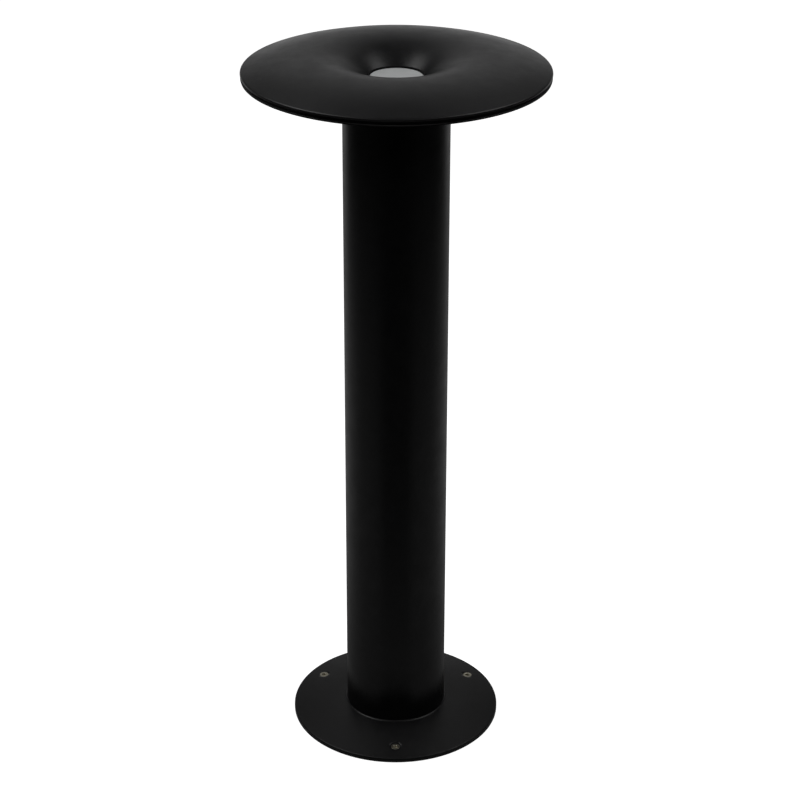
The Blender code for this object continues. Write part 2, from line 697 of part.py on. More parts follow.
def build_gland():
    """Cable gland through the flange's web: locknut below, body, seal and cap nut above."""
    thread = GLAND_HOLE - GAP
    body_low = WEB_TOP + GAP
    collar_top = body_low + GLAND_COLLAR_HEIGHT
    body_top = collar_top + GLAND_NECK_HEIGHT
    outline = [
        (GLAND_BORE, 0.0006),
        (thread - 0.0005, 0.0006),
        (thread, 0.0011),
        (thread, body_low),
        (GLAND_COLLAR, body_low),
        (GLAND_COLLAR, collar_top),
        (GLAND_NECK, collar_top),
        (GLAND_NECK, body_top),
        (0.0070, body_top),
        (GLAND_BORE, body_top - 0.004),
    ]
    body = lathe("gland_body", outline, "black_plastic")
    add(body, hex_ring("gland_hexagon", GLAND_FLATS, thread - GAP, body_low, collar_top))
    ring("gland_seal", 0.0046, 0.0066, body_top + GAP, body_top + 0.0075, "silicone", SMALL_ROUND)
    cap_low = collar_top + GAP
    cap_top = body_top + 0.0095
    outline = [
        (CAP_BORE, cap_low),
        (CAP_RADIUS, cap_low),
        (CAP_RADIUS, cap_top - 0.004),
        (0.0080, cap_top),
        (GLAND_BORE, cap_top),
        (0.0070, cap_top - 0.002),
        (CAP_BORE, cap_top - 0.008),
    ]
    cap = lathe("gland_cap", outline, "black_plastic")
    add(cap, hex_ring("cap_hexagon", CAP_FLATS, CAP_BORE + 0.0007, cap_low, cap_low + 0.0075))
    nut_top = WEB_BOTTOM - GAP
    locknut = prism("gland_locknut", 6, LOCKNUT_FLATS, nut_top - LOCKNUT_HEIGHT, nut_top, "black_plastic")
    drill(locknut, thread + GAP, -0.01, 0.02)


def hex_ring(name, across_flats, bore, low, high):
    """A hexagonal collar, used to give a round body its spanner flats."""
    collar = prism(name, 6, across_flats, low, high, None)
    drill(collar, bore, low - 0.001, high + 0.001)
    return collar


def build_gear_tray():
    """A bent sheet: a foot on the flange's web and an upright that carries the gear."""
    foot_low = WEB_TOP + GAP
    half = TRAY_WIDTH / 2.0
    tray = block(
        "gear_tray",
        (-half, TRAY_FACE_Y, foot_low),
        (half, TRAY_FACE_Y + TRAY_SHEET, TRAY_TOP),
        "zinc_steel",
        0.0004,
    )
    foot = block(
        "tray_foot",
        (-half, TRAY_FACE_Y + TRAY_SHEET / 2.0, foot_low),
        (half, TRAY_FACE_Y + TRAY_FOOT_DEPTH, foot_low + TRAY_SHEET),
        None,
        0.0004,
    )
    add(tray, foot)
    for x in TRAY_SCREWS_X:
        hole = disc("tray_foot_hole", GEAR_SCREW_HOLE, 0.0, 0.03, None, SMALL_ROUND)
        hole.location = (x, TRAY_FOOT_Y, 0.0)
        cut(tray, hole)
    for z in (*DRIVER_SCREWS_Z, TERMINAL_SCREW_Z):
        cut(tray, level_hole("tray_gear_hole", GEAR_SCREW_HOLE, 0.0, z))
    cut(tray, level_hole("tray_earth_hole", 0.0028, EARTH_X, EARTH_Z))
    for number, x in enumerate(TRAY_SCREWS_X, 1):
        size = (GEAR_SCREW_RADIUS, 0.0055, 0.0036, 0.0022, 0.0025)
        screw = socket_screw(f"tray_screw_{number}", *size, "zinc_steel")
        for thing in [screw] + [m.object for m in screw.modifiers]:
            thing.location = (x, TRAY_FOOT_Y, WEB_BOTTOM)


def level_hole(name, radius, x, z):
    """A cutter along Y through the tray's upright."""
    hole = disc(name, radius, -0.01, 0.01, None, SMALL_ROUND)
    hole.rotation_euler = (math.radians(90.0), 0.0, 0.0)
    hole.location = (x, TRAY_FACE_Y + TRAY_SHEET / 2.0, z)
    return hole


def gear_screw(name, x, seat_y, z, length):
    """A cap screw along +Y with its head's underside on a seat that faces -Y."""
    screw = socket_screw(name, GEAR_SCREW_RADIUS, length, 0.0035, 0.0025, 0.0025, "zinc_steel")
    for thing in [screw] + [m.object for m in screw.modifiers]:
        thing.rotation_euler = (math.radians(-90.0), 0.0, 0.0)
        thing.location = (x, seat_y, z)
    return screw


def build_driver():
    width, depth, height = DRIVER_SIZE
    back = TRAY_FACE_Y - GAP
    low = (-width / 2.0, back - depth, DRIVER_BOTTOM)
    high = (width / 2.0, back, DRIVER_BOTTOM + height)
    driver = block("driver", low, high, "white_plastic", 0.0015)
    for number, z in enumerate(DRIVER_SCREWS_Z, 1):
        ear_edge = DRIVER_BOTTOM if number == 1 else DRIVER_BOTTOM + height
        ear = block(
            f"driver_ear_{number}",
            (-0.008, back - DRIVER_EAR, min(ear_edge, z) - 0.005),
            (0.008, back, max(ear_edge, z) + 0.005),
            None,
            0.0005,
        )
        add(driver, ear)
        cut(driver, level_hole(f"driver_hole_{number}", GEAR_SCREW_HOLE, 0.0, z))
        gear_screw(f"driver_screw_{number}", 0.0, back - DRIVER_EAR - GAP, z, 0.009)


def build_terminal_block():
    width, depth, height = TERMINAL_SIZE
    back = TRAY_FACE_Y - GAP
    low = (-width / 2.0, back - depth, TERMINAL_BOTTOM)
    high = (width / 2.0, back, TERMINAL_BOTTOM + height)
    terminal = block("terminal_block", low, high, "white_plastic", 0.0006)
    for i in range(3):
        x = (i - 1) * TERMINAL_PITCH
        wire = disc(f"terminal_wire_{i}", 0.0019, TERMINAL_BOTTOM - 0.002, TERMINAL_BOTTOM + 0.007, None, 16)
        wire.location = (x, back - depth + 0.006, 0.0)
        cut(terminal, wire)
        access = disc(f"terminal_access_{i}", 0.0019, 0.0, 0.005, None, 16)
        access.rotation_euler = (math.radians(-90.0), 0.0, 0.0)
        access.location = (x, back - depth - 0.001, TERMINAL_BOTTOM + height - 0.005)
        cut(terminal, access)
    cut(terminal, level_hole("terminal_hole", GEAR_SCREW_HOLE, 0.0, TERMINAL_SCREW_Z))
    recess = level_hole("terminal_recess", 0.0041, 0.0, TERMINAL_SCREW_Z)
    seat = back - TERMINAL_SCREW_SEAT
    recess.location.y = seat - 0.01
    cut(terminal, recess)
    gear_screw("terminal_screw", 0.0, seat - GAP, TERMINAL_SCREW_Z, 0.011)


def build_earth():
    """A stud through the upright beside the driver, with its washer and nut."""
    seat = TRAY_FACE_Y - GAP
    stud = gear_screw("earth_stud", EARTH_X, 0.0, EARTH_Z, 0.014)
    for thing in [stud] + [m.object for m in stud.modifiers]:
        thing.rotation_euler = (math.radians(90.0), 0.0, 0.0)
        thing.location.y = TRAY_FACE_Y + TRAY_SHEET + GAP
    washer = ring("earth_washer", GEAR_SCREW_HOLE, 0.0045, 0.0, EARTH_WASHER, "zinc_steel", SMALL_ROUND)
    washer.rotation_euler = (math.radians(90.0), 0.0, 0.0)
    washer.location = (EARTH_X, seat, EARTH_Z)
    nut = prism("earth_nut", 6, 0.007, 0.0, 0.0032, "brass")
    hole = disc("earth_nut_hole", GEAR_SCREW_HOLE, -0.001, 0.005, None, SMALL_ROUND)
    cut(nut, hole)
    for thing in (nut, hole):
        thing.rotation_euler = (math.radians(90.0), 0.0, 0.0)
        thing.location = (EARTH_X, seat - EARTH_WASHER - GAP, EARTH_Z)


def tube(name, route, radius, finish):
    """A lead along its route, read from a smooth curve through the route's own points."""
    curve = bpy.data.curves.new(name, "CURVE")
    curve.dimensions = "3D"
    curve.bevel_depth = radius
    curve.bevel_resolution = 2
    curve.use_fill_caps = True
    spline = curve.splines.new("POLY")
    spline.points.add(len(route) - 1)
    for point, place_xyz in zip(spline.points, route):
        point.co = (*place_xyz, 1.0)
    thing = bpy.data.objects.new(name, curve)
    bpy.context.scene.collection.objects.link(thing)
    curve.materials.append(MATERIALS[finish])
    return thing


def smooth_route(knots, spacing):
    """Points along a Catmull-Rom curve through the knots."""
    knots = [Vector(k) for k in knots]
    ends = [2.0 * knots[0] - knots[1]] + knots + [2.0 * knots[-1] - knots[-2]]
    points = [knots[0]]
    for before, start, end, after in zip(ends, ends[1:], ends[2:], ends[3:]):
        steps = max(1, round((end - start).length / spacing))
        for i in range(1, steps + 1):
            t = i / steps
            points.append(
                0.5
                * (
                    2.0 * start
                    + (end - before) * t
                    + (2.0 * before - 5.0 * start + 4.0 * end - after) * t * t
                    + (3.0 * start - before - 3.0 * end + after) * t * t * t
                )
            )
    return points


def build_leads():
    """The LED lead up the wall to the cup, and the short mains lead between terminal block and driver."""
    driver_top = DRIVER_BOTTOM + DRIVER_SIZE[2]
    driver_y = TRAY_FACE_Y - GAP - DRIVER_SIZE[1] / 2.0
    wall = LEAD_WALL_DISTANCE
    knots = [
        (0.012, driver_y, driver_top + GAP),
        (0.012, driver_y, driver_top + 0.015),
        (0.010, driver_y + 0.010, driver_top + 0.045),
        (0.003, wall - 0.008, driver_top + 0.072),
        (0.0, wall, LEAD_CLIPS_Z[0] - 0.016),
        (0.0, wall, LEAD_CLIPS_Z[0]),
        (0.0, wall, (LEAD_CLIPS_Z[0] + LEAD_CLIPS_Z[1]) / 2.0),
        (0.0, wall, LEAD_CLIPS_Z[1]),
        (0.0, wall, LEAD_ENTRY_Z - 0.050),
        (0.0, wall, LEAD_ENTRY_Z - 0.022),
        (0.0, wall - 0.0016, LEAD_ENTRY_Z - 0.0095),
        (0.0, wall - 0.0050, LEAD_ENTRY_Z - 0.0022),
        (0.0, wall - 0.0095, LEAD_ENTRY_Z),
        (0.0, HOUSING_RADIUS - 0.002, LEAD_ENTRY_Z),
    ]
    tube("led_lead", smooth_route(knots, 0.013), LEAD_RADIUS, "lead_sheath")
    terminal_top = TERMINAL_BOTTOM + TERMINAL_SIZE[2]
    terminal_y = TRAY_FACE_Y - GAP - TERMINAL_SIZE[1] + 0.006
    knots = [
        (-0.012, terminal_y, terminal_top + GAP),
        (-0.012, terminal_y, terminal_top + 0.006),
        (-0.012, (terminal_y + driver_y) / 2.0, (terminal_top + DRIVER_BOTTOM) / 2.0),
        (-0.012, driver_y, DRIVER_BOTTOM - 0.006),
        (-0.012, driver_y, DRIVER_BOTTOM - GAP),
    ]
    tube("mains_lead", smooth_route(knots, 0.004), LEAD_RADIUS, "lead_sheath")


def build_lead_clips():
    """Saddles bonded to the post's wall round the lead."""
    for number, z in enumerate(LEAD_CLIPS_Z, 1):
        clip = block(
            f"lead_clip_{number}",
            (-0.006, LEAD_WALL_DISTANCE - LEAD_RADIUS - 0.0015, z - 0.004),
            (0.006, 0.0462, z + 0.004),
            "black_plastic",
            0.0004,
        )
        hole = disc(f"clip_hole_{number}", LEAD_RADIUS + GAP, z - 0.01, z + 0.01, None, 16)
        hole.location.y = LEAD_WALL_DISTANCE
        cut(clip, hole)


def build_lead_grommet():
    """A sleeve in the cup's side wall round the lead."""
    sleeve = ring("lead_grommet", LEAD_RADIUS + GAP, 0.0028, -0.0034, 0.0038, "silicone", 16)
    collar = ring("grommet_collar", LEAD_RADIUS + 0.0005, 0.0046, 0.0007, 0.0028, None, 16)
    add(sleeve, collar)
    for thing in (sleeve, collar):
        thing.rotation_euler = (math.radians(-90.0), 0.0, 0.0)
        thing.location = (0.0, HOUSING_RADIUS, LEAD_ENTRY_Z)


clear_scene()
MATERIALS = make_materials()
build_base_flange()
build_flange_screws()
build_anchor_ring()
build_post()
build_head_shell()
build_head_underplate()
build_head_core()
build_head_fixings()
collar_height = build_lens()
led_cup = build_led_housing(collar_height)
build_light_source(led_cup, collar_height)
build_heat_sink(led_cup)
build_gland()
build_gear_tray()
build_driver()
build_terminal_block()
build_earth()
build_leads()
build_lead_clips()
build_lead_grommet()
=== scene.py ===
"""Looks of the bollard luminaire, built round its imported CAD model.

Metres, +Z up. One flange screw lies on -Y, which is the front.
"""

import math

import bmesh
import bpy
from mathutils import Matrix, Vector
from mathutils.geometry import interpolate_bezier


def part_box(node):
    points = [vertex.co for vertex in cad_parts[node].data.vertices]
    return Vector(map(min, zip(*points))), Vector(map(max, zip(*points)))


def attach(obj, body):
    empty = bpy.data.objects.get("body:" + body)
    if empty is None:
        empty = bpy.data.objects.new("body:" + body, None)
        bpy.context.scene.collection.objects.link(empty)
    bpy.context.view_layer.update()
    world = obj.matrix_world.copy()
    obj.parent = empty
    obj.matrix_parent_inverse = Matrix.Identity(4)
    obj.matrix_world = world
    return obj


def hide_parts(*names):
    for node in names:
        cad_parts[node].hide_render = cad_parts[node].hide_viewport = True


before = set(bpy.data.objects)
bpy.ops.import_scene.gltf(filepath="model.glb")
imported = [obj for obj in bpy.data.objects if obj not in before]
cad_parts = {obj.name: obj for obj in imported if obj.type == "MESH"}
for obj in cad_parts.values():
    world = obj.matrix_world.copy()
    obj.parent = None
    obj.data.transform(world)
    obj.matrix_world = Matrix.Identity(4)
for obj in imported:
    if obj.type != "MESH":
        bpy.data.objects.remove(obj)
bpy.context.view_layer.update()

# Measures read from the imported CAD parts
HEAD_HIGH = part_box("head_shell")[1]
HEAD_RADIUS = HEAD_HIGH.x
CREST_Z = HEAD_HIGH.z
PLATE_LOW, PLATE_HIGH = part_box("head_underplate")
POST_LOW, POST_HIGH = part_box("post_tube")
POST_RADIUS = POST_HIGH.x
FLANGE_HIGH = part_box("base_flange")[1]
FLANGE_RADIUS = FLANGE_HIGH.x
LENS_LOW, LENS_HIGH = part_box("lens")
SCREWS = ("flange_screw_1", "flange_screw_2", "flange_screw_3")

# Head
RIM_CENTRE_Z = CREST_Z - 0.0144
RIM_ROUNDING = 0.0018
RIM_WALL = 0.0048
RIM_FOOT_Z = CREST_Z - 0.020
BEAD = (  # inwards from the head's edge, and up from the rim's foot
    (0.0022, 0.0026),
    (0.0011, 0.0019),
    (0.0005, 0.0017),
    (0.0003, 0.0014),
    (0.0006, 0.0003),
    (0.0009, 0.0),
)
RIM_UNDERCUT = -35.0  # degrees, where the rim's rounding ends
RIM_SLOPE = 17.0  # degrees, of the top where it leaves the rim
RIM_PULL = 0.019
CREST_RADIUS = 0.077
CREST_PULL_IN = 0.022
CREST_PULL_OUT = 0.026
THROAT_RADIUS = 0.0262
THROAT_Z = CREST_Z - 0.0195
THROAT_SLOPE = 38.0
THROAT_PULL = 0.015
COLLAR_DEPTH = 0.0035
SHELL_WALL = 0.0025
HEAD_STEPS = 256
PLATE_EDGE = 0.0003

# Post and base
POST_WALL = 0.003
POST_EDGE = 0.0005
FLANGE_RIM = 0.005
FLANGE_EDGE = 0.0012
FLANGE_NECK_Z = 0.0125
FLANGE_FILLET = 0.002
FLANGE_FOOT = 0.0006  # chamfer at the ground
SPIGOT_EDGE = 0.001
SEAM_GAP = 0.0003
RECESS_RADIUS = 0.0973
RECESS_DEPTH = 0.0033
RELIEF = (0.057, 0.075, 0.0066)  # inner radius, outer radius, top
WEB = (0.033, 0.006, 0.010)  # radius, underside, top
GLAND_HOLE = 0.0103
SPIGOT_BORE = 0.0427
SCREW_SHANK = 0.0025
SCREW_KEY = 0.002  # half of the width across flats
SCREW_TURN = 11.0  # degrees, of the sockets
SINK_HOLE = 0.0028
SINK_RADIUS = 0.0050  # where the screw's head is flush
SINK_LIP = 0.0054
SINK_DEPTH = 0.0022

# Lens
LENS_RADIUS = 0.025
LENS_BEVEL = 0.0010
LENS_ROUNDING = 0.00062
LENS_FLANGE = 0.0078  # from the lens's top down to its wider edge
SEAL_SHADE_LIP = 0.0011  # above the lens, the height of a dark matt lip that is a painted shadow for the gap round the lens


def arc(centre, radius, start, end, steps):
    """Points of a circle arc in the (radius, height) plane, angles in degrees from +radius."""
    angles = [math.radians(start + (end - start) * i / steps) for i in range(steps + 1)]
    return [(centre[0] + radius * math.cos(a), centre[1] + radius * math.sin(a)) for a in angles]


def bezier(start, start_handle, end_handle, end, points):
    corners = [Vector(corner).to_3d() for corner in (start, start_handle, end_handle, end)]
    return [(p.x, p.y) for p in interpolate_bezier(*corners, points)]


def offset_line(line, distance):
    """The same line moved to the right of its direction of travel."""
    moved = []
    for i, (r, z) in enumerate(line):
        before = line[max(i - 1, 0)]
        after = line[min(i + 1, len(line) - 1)]
        along = Vector((after[0] - before[0], after[1] - before[1])).normalized()
        moved.append((r + along.y * distance, z - along.x * distance))
    return moved


def new_object(name, bm, material, sharp_angle=30.0):
    bmesh.ops.recalc_face_normals(bm, faces=bm.faces)
    mesh = bpy.data.meshes.new(name)
    bm.to_mesh(mesh)
    bm.free()
    mesh.shade_smooth()
    mesh.set_sharp_from_angle(angle=math.radians(sharp_angle))
    thing = bpy.data.objects.new(name, mesh)
    bpy.context.scene.collection.objects.link(thing)
    if material is not None:
        mesh.materials.append(material)
    return thing


def turned(name, rows, steps, material, centre=(0.0, 0.0), turn=0.0, sharp_angle=30.0):
    """A turned piece from rows of (radius, z) or (half of the width across flats, z, sides).

    The rows close on themselves, or start and end on the axis with radius 0.
    """
    bm = bmesh.new()
    loops = []
    for row in rows:
        size, z = row[:2]
        if size == 0.0:
            loops.append([bm.verts.new((centre[0], centre[1], z))])
            continue
        loop = []
        for i in range(steps):
            angle = 2.0 * math.pi * i / steps
            radius = size
            if len(row) == 3:
                half_side = math.pi / row[2]
                radius = size / math.cos((angle + half_side) % (2.0 * half_side) - half_side)
            spot = angle + math.radians(turn)
            x = centre[0] + radius * math.cos(spot)
            y = centre[1] + radius * math.sin(spot)
            loop.append(bm.verts.new((x, y, z)))
        loops.append(loop)
    pairs = list(zip(loops, loops[1:]))
    if rows[0][0] != 0.0:
        pairs.append((loops[-1], loops[0]))
    for low, high in pairs:
        for i in range(steps):
            j = (i + 1) % steps
            if len(low) == 1:
                bm.faces.new((low[0], high[i], high[j]))
            elif len(high) == 1:
                bm.faces.new((low[i], low[j], high[0]))
            else:
                bm.faces.new((low[i], low[j], high[j], high[i]))
    return new_object(name, bm, material, sharp_angle)


def cut(target, cutter):
    """Take the cutter out of the target's mesh, and remove the cutter."""
    modifier = target.modifiers.new("cut", "BOOLEAN")
    modifier.object = cutter
    modifier.solver = "EXACT"
    depsgraph = bpy.context.evaluated_depsgraph_get()
    result = bpy.data.meshes.new_from_object(target.evaluated_get(depsgraph))
    target.modifiers.clear()
    target.data = result
    bpy.data.objects.remove(cutter, do_unlink=True)


def place_piece(piece, slot, *nodes):
    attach(piece, "root")
    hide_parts(*nodes)


# Materials


class Nodes:
    """Short hand for building a material's node tree."""

    def __init__(self, name):
        self.material = bpy.data.materials.new(name)
        self.material.use_nodes = True
        self.tree = self.material.node_tree
        self.shader = self.tree.nodes["Principled BSDF"]
        self.place = self.add("ShaderNodeTexCoord").outputs["Object"]

    def add(self, kind, **settings):
        node = self.tree.nodes.new(kind)
        for key, value in settings.items():
            setattr(node, key, value)
        return node

    def link(self, output, node, socket):
        self.tree.links.new(output, node.inputs[socket])

    def stretched(self, scale):
        mapping = self.add("ShaderNodeMapping")
        mapping.inputs["Scale"].default_value = scale
        self.link(self.place, mapping, "Vector")
        return mapping.outputs["Vector"]

    def noise(self, scale, detail=3.0, roughness=0.5, place=None):
        node = self.add("ShaderNodeTexNoise")
        node.inputs["Scale"].default_value = scale
        node.inputs["Detail"].default_value = detail
        node.inputs["Roughness"].default_value = roughness
        self.link(place or self.place, node, "Vector")
        return node.outputs["Fac"]

    def cells(self, scale, place=None):
        node = self.add("ShaderNodeTexVoronoi")
        node.inputs["Scale"].default_value = scale
        self.link(place or self.place, node, "Vector")
        return node

    def span(self, value, low, high, from_low=0.3, from_high=0.7):
        """Map a 0 to 1 pattern onto a range."""
        node = self.add("ShaderNodeMapRange")
        self.link(value, node, "Value")
        node.inputs["From Min"].default_value = from_low
        node.inputs["From Max"].default_value = from_high
        node.inputs["To Min"].default_value = low
        node.inputs["To Max"].default_value = high
        return node.outputs["Result"]

    def blend(self, factor, first, second):
        node = self.add("ShaderNodeMix", data_type="RGBA")
        self.link(factor, node, "Factor")
        node.inputs["A"].default_value = (*first, 1.0)
        node.inputs["B"].default_value = (*second, 1.0)
        return node.outputs["Result"]

    def bump(self, height, distance, strength=1.0, normal=None):
        node = self.add("ShaderNodeBump")
        node.inputs["Strength"].default_value = strength
        node.inputs["Distance"].default_value = distance
        self.link(height, node, "Height")
        if normal is not None:
            self.link(normal, node, "Normal")
        return node.outputs["Normal"]

    def set(self, **values):
        for key, value in values.items():
            self.shader.inputs[key.replace("_", " ")].default_value = value

    def finish(self, colour=None, roughness=None, normal=None):
        if colour is not None:
            self.link(colour, self.shader, "Base Color")
        if roughness is not None:
            self.link(roughness, self.shader, "Roughness")
        if normal is not None:
            self.link(normal, self.shader, "Normal")
        return self.material


def powder_coat():
    """Satin black: a grain of under half a millimetre over a soft orange peel, a little dusty."""
    n = Nodes("black_powder_coat")
    cloud = n.noise(22.0, 4.0)
    grain = n.noise(2600.0, 2.0, 0.6)
    peel = n.noise(260.0, 2.0)
    colour = n.blend(n.span(cloud, 0.0, 1.0), (0.0070, 0.0070, 0.0076), (0.0095, 0.0095, 0.0102))
    rough = n.span(n.noise(60.0, 5.0, 0.6), 0.32, 0.40)
    normal = n.bump(peel, 0.00012, 0.5)
    normal = n.bump(grain, 0.00006, 0.6, normal)
    return n.finish(colour, rough, normal)


def metal(name, colour, worn, roughness, grain_scale=900.0, stretch=(1.0, 1.0, 9.0), depth=0.00002):
    """Bare metal with fine scratches along one direction and a slightly uneven tone."""
    n = Nodes(name)
    n.set(Metallic=1.0)
    scratches = n.noise(grain_scale, 4.0, 0.7, n.stretched(stretch))
    tone = n.blend(n.span(n.noise(350.0, 3.0), 0.0, 1.0), colour, worn)
    rough = n.span(scratches, roughness - 0.07, roughness + 0.1)
    return n.finish(tone, rough, n.bump(scratches, depth, 0.5))


def galvanised():
    """Zinc with its flat crystals, each of a slightly different grey."""
    n = Nodes("galvanised_zinc")
    n.set(Metallic=1.0)
    crystals = n.cells(420.0)
    flakes = crystals.outputs["Color"]
    tone = n.blend(n.span(flakes, 0.0, 1.0, 0.0, 1.0), (0.42, 0.44, 0.45), (0.60, 0.62, 0.63))
    rough = n.span(n.noise(700.0, 4.0), 0.36, 0.52)
    return n.finish(tone, rough, n.bump(crystals.outputs["Distance"], 0.00003, 0.4))


def plastic(name, colour, dusty, roughness, grain_scale=1400.0, depth=0.00003, shine=0.5):
    """Moulded plastic or rubber with a fine spark-eroded grain and some dust."""
    n = Nodes(name)
    n.set(Specular_IOR_Level=shine)
    dust = n.span(n.noise(45.0, 5.0, 0.6), 0.0, 1.0, 0.35, 0.75)
    grain = n.noise(grain_scale, 2.0)
    rough = n.span(n.noise(120.0, 3.0), roughness - 0.05, roughness + 0.08)
    return n.finish(n.blend(dust, colour, dusty), rough, n.bump(grain, depth, 0.6))


def phosphor():
    """Yellow gel over the light source, with its chips showing faintly as cells."""
    n = Nodes("phosphor_gel")
    n.set(Coat_Weight=0.5, Coat_Roughness=0.15)
    chips = n.cells(900.0)
    edges = n.span(chips.outputs["Distance"], 0.0, 1.0, 0.0, 0.6)
    tone = n.blend(edges, (0.86, 0.60, 0.10), (0.93, 0.74, 0.22))
    rough = n.span(n.noise(600.0), 0.3, 0.45)
    return n.finish(tone, rough, n.bump(chips.outputs["Distance"], 0.00004, 0.5))


def frosted_lens():
    """Milky glass, lit by the room like fine white paper under a thin gloss."""
    n = Nodes("frosted_lens")
    n.set(IOR=1.5, Coat_Weight=0.25, Coat_Roughness=0.2)
    mist = n.noise(500.0, 3.0)
    colour = n.blend(n.span(n.noise(40.0, 2.0), 0.0, 1.0), (0.77, 0.79, 0.79), (0.85, 0.87, 0.87))
    rough = n.span(mist, 0.38, 0.5)
    return n.finish(colour, rough, n.bump(n.noise(3000.0, 2.0), 0.00003, 0.4))


BLACK = powder_coat()
STEEL_STRETCH = (1.0, 9.0, 2.0)
SCREW_STEEL = metal("stainless_screw", (0.66, 0.63, 0.52), (0.50, 0.47, 0.38), 0.32, stretch=STEEL_STRETCH)
LENS_GLASS = frosted_lens()
LOOKS = {
    "black_coat": BLACK,
    "stainless": SCREW_STEEL,
    "frosted_glass": LENS_GLASS,
    "zinc_steel": galvanised(),
    "bare_aluminium": metal("turned_aluminium", (0.72, 0.73, 0.74), (0.60, 0.61, 0.63), 0.34),
    "brass": metal("plain_brass", (0.72, 0.53, 0.22), (0.56, 0.40, 0.17), 0.30),
    "silicone": plastic("black_silicone", (0.010, 0.010, 0.011), (0.024, 0.024, 0.024), 0.80, shine=0.15),
    "white_plastic": plastic("white_polycarbonate", (0.80, 0.80, 0.77), (0.70, 0.69, 0.65), 0.42),
    "black_plastic": plastic("black_polyamide", (0.018, 0.018, 0.019), (0.045, 0.045, 0.044), 0.48),
    "board": plastic("white_solder_mask", (0.74, 0.77, 0.75), (0.64, 0.67, 0.65), 0.36, 2200.0, 0.00002),
    "lead_sheath": plastic("lead_sheath_rubber", (0.035, 0.035, 0.040), (0.075, 0.075, 0.078), 0.52),
    "phosphor": phosphor(),
}


# Pieces


def head_surface():
    """The shell's top as two curves, throat to crest and crest to rim, and the rim's rounding."""
    crest = (CREST_RADIUS, CREST_Z)
    throat_angle = math.radians(THROAT_SLOPE)
    throat_handle = (
        THROAT_RADIUS + THROAT_PULL * math.cos(throat_angle),
        THROAT_Z + THROAT_PULL * math.sin(throat_angle),
    )
    crest_handle = (CREST_RADIUS - CREST_PULL_IN, CREST_Z)
    inner = bezier((THROAT_RADIUS, THROAT_Z), throat_handle, crest_handle, crest, 40)
    rim_angle = math.radians(RIM_SLOPE)
    rim_out = (math.sin(rim_angle), math.cos(rim_angle))
    rim_centre = (HEAD_RADIUS - RIM_ROUNDING, RIM_CENTRE_Z)
    rim = (rim_centre[0] + RIM_ROUNDING * rim_out[0], rim_centre[1] + RIM_ROUNDING * rim_out[1])
    rim_handle = (rim[0] - RIM_PULL * rim_out[1], rim[1] + RIM_PULL * rim_out[0])
    outer = bezier(crest, (CREST_RADIUS + CREST_PULL_OUT, CREST_Z), rim_handle, rim, 36)
    return inner, outer, rim_centre


def build_head_shell():
    inner, outer, rim_centre = head_surface()
    collar_bottom = THROAT_Z - COLLAR_DEPTH
    collar_radius = THROAT_RADIUS + SHELL_WALL
    rim_inner = HEAD_RADIUS - RIM_WALL
    top = inner + outer[1:]
    rim = arc(rim_centre, RIM_ROUNDING, 90.0 - RIM_SLOPE, RIM_UNDERCUT, 14)
    bead = [(HEAD_RADIUS - r, RIM_FOOT_Z + z) for r, z in BEAD]
    lining = [p for p in offset_line(top, SHELL_WALL) if collar_radius < p[0] < rim_inner]
    outline = [(THROAT_RADIUS, collar_bottom)] + top + rim[1:] + bead
    outline += [(rim_inner, RIM_FOOT_Z), (rim_inner, lining[-1][1])]
    outline += lining[::-2]
    outline += [(collar_radius, lining[0][1]), (collar_radius, collar_bottom)]
    shell = turned("head_shell_skin", outline, HEAD_STEPS, BLACK)
    place_piece(shell, "black_coat", "head_shell")


def build_underplate():
    inner = POST_RADIUS - POST_WALL
    outer = HEAD_RADIUS - RIM_WALL - SEAM_GAP
    low, high = PLATE_LOW.z, PLATE_HIGH.z
    outline = [(inner, low), (outer - PLATE_EDGE, low), (outer, low + PLATE_EDGE)]
    outline += [(outer, high), (inner, high)]
    plate = turned("head_underplate_skin", outline, HEAD_STEPS, BLACK)
    place_piece(plate, "black_coat", "head_underplate")


def build_seal_and_shade_lip():
    """The upper gasket, with a dark matt lip that stands up round the lens; the gasket is real, the lip is
    a painted shadow for the gap between the lens and the throat.
    """
    low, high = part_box("lens_gasket_upper")
    # the lip rises above the lens as a dark sheet, a painted shadow for the gap between lens and throat
    shade_lip_top = LENS_HIGH.z + SEAL_SHADE_LIP
    shade_lip_inner = LENS_RADIUS + 0.00015
    shade_lip_outer = THROAT_RADIUS - 0.0001
    outline = [
        (THROAT_RADIUS + 0.0003, low.z),
        (high.x, low.z),
        (high.x, high.z),
        (shade_lip_outer, high.z),
        (shade_lip_outer, shade_lip_top),
        (shade_lip_inner, shade_lip_top),
        (shade_lip_inner, low.z),
    ]
    seal = turned("lens_seal_and_painted_shade_lip", outline, 128, LOOKS["silicone"])
    place_piece(seal, "silicone", "lens_gasket_upper")


def build_lens():
    low, top = LENS_LOW.z, LENS_HIGH.z
    edge_radius = LENS_HIGH.x
    step = top - LENS_FLANGE
    outline = [(0.0, low), (edge_radius, low), (edge_radius, step), (LENS_RADIUS, step)]
    bevel_low = top - LENS_BEVEL
    outline += [(LENS_RADIUS, bevel_low)]
    outline += arc((LENS_RADIUS - LENS_BEVEL, bevel_low), LENS_ROUNDING, 20.0, 80.0, 5)
    outline += [(LENS_RADIUS - LENS_BEVEL * 1.6, top - 0.0003)]
    outline += [(LENS_RADIUS * 0.6, top - 0.0001), (0.0, top)]
    lens = turned("lens_glass", outline, 128, LENS_GLASS)
    place_piece(lens, "frosted_glass", "lens")


def build_post():
    bore = POST_RADIUS - POST_WALL
    low, high = POST_LOW.z, POST_HIGH.z
    outline = [(bore, low), (POST_RADIUS, low)]
    outline += arc((POST_RADIUS - POST_EDGE, high - POST_EDGE), POST_EDGE, 0.0, 90.0, 3)
    outline += [(bore, high)]
    post = turned("post_skin", outline, 192, BLACK)
    place_piece(post, "black_coat", "post_tube")


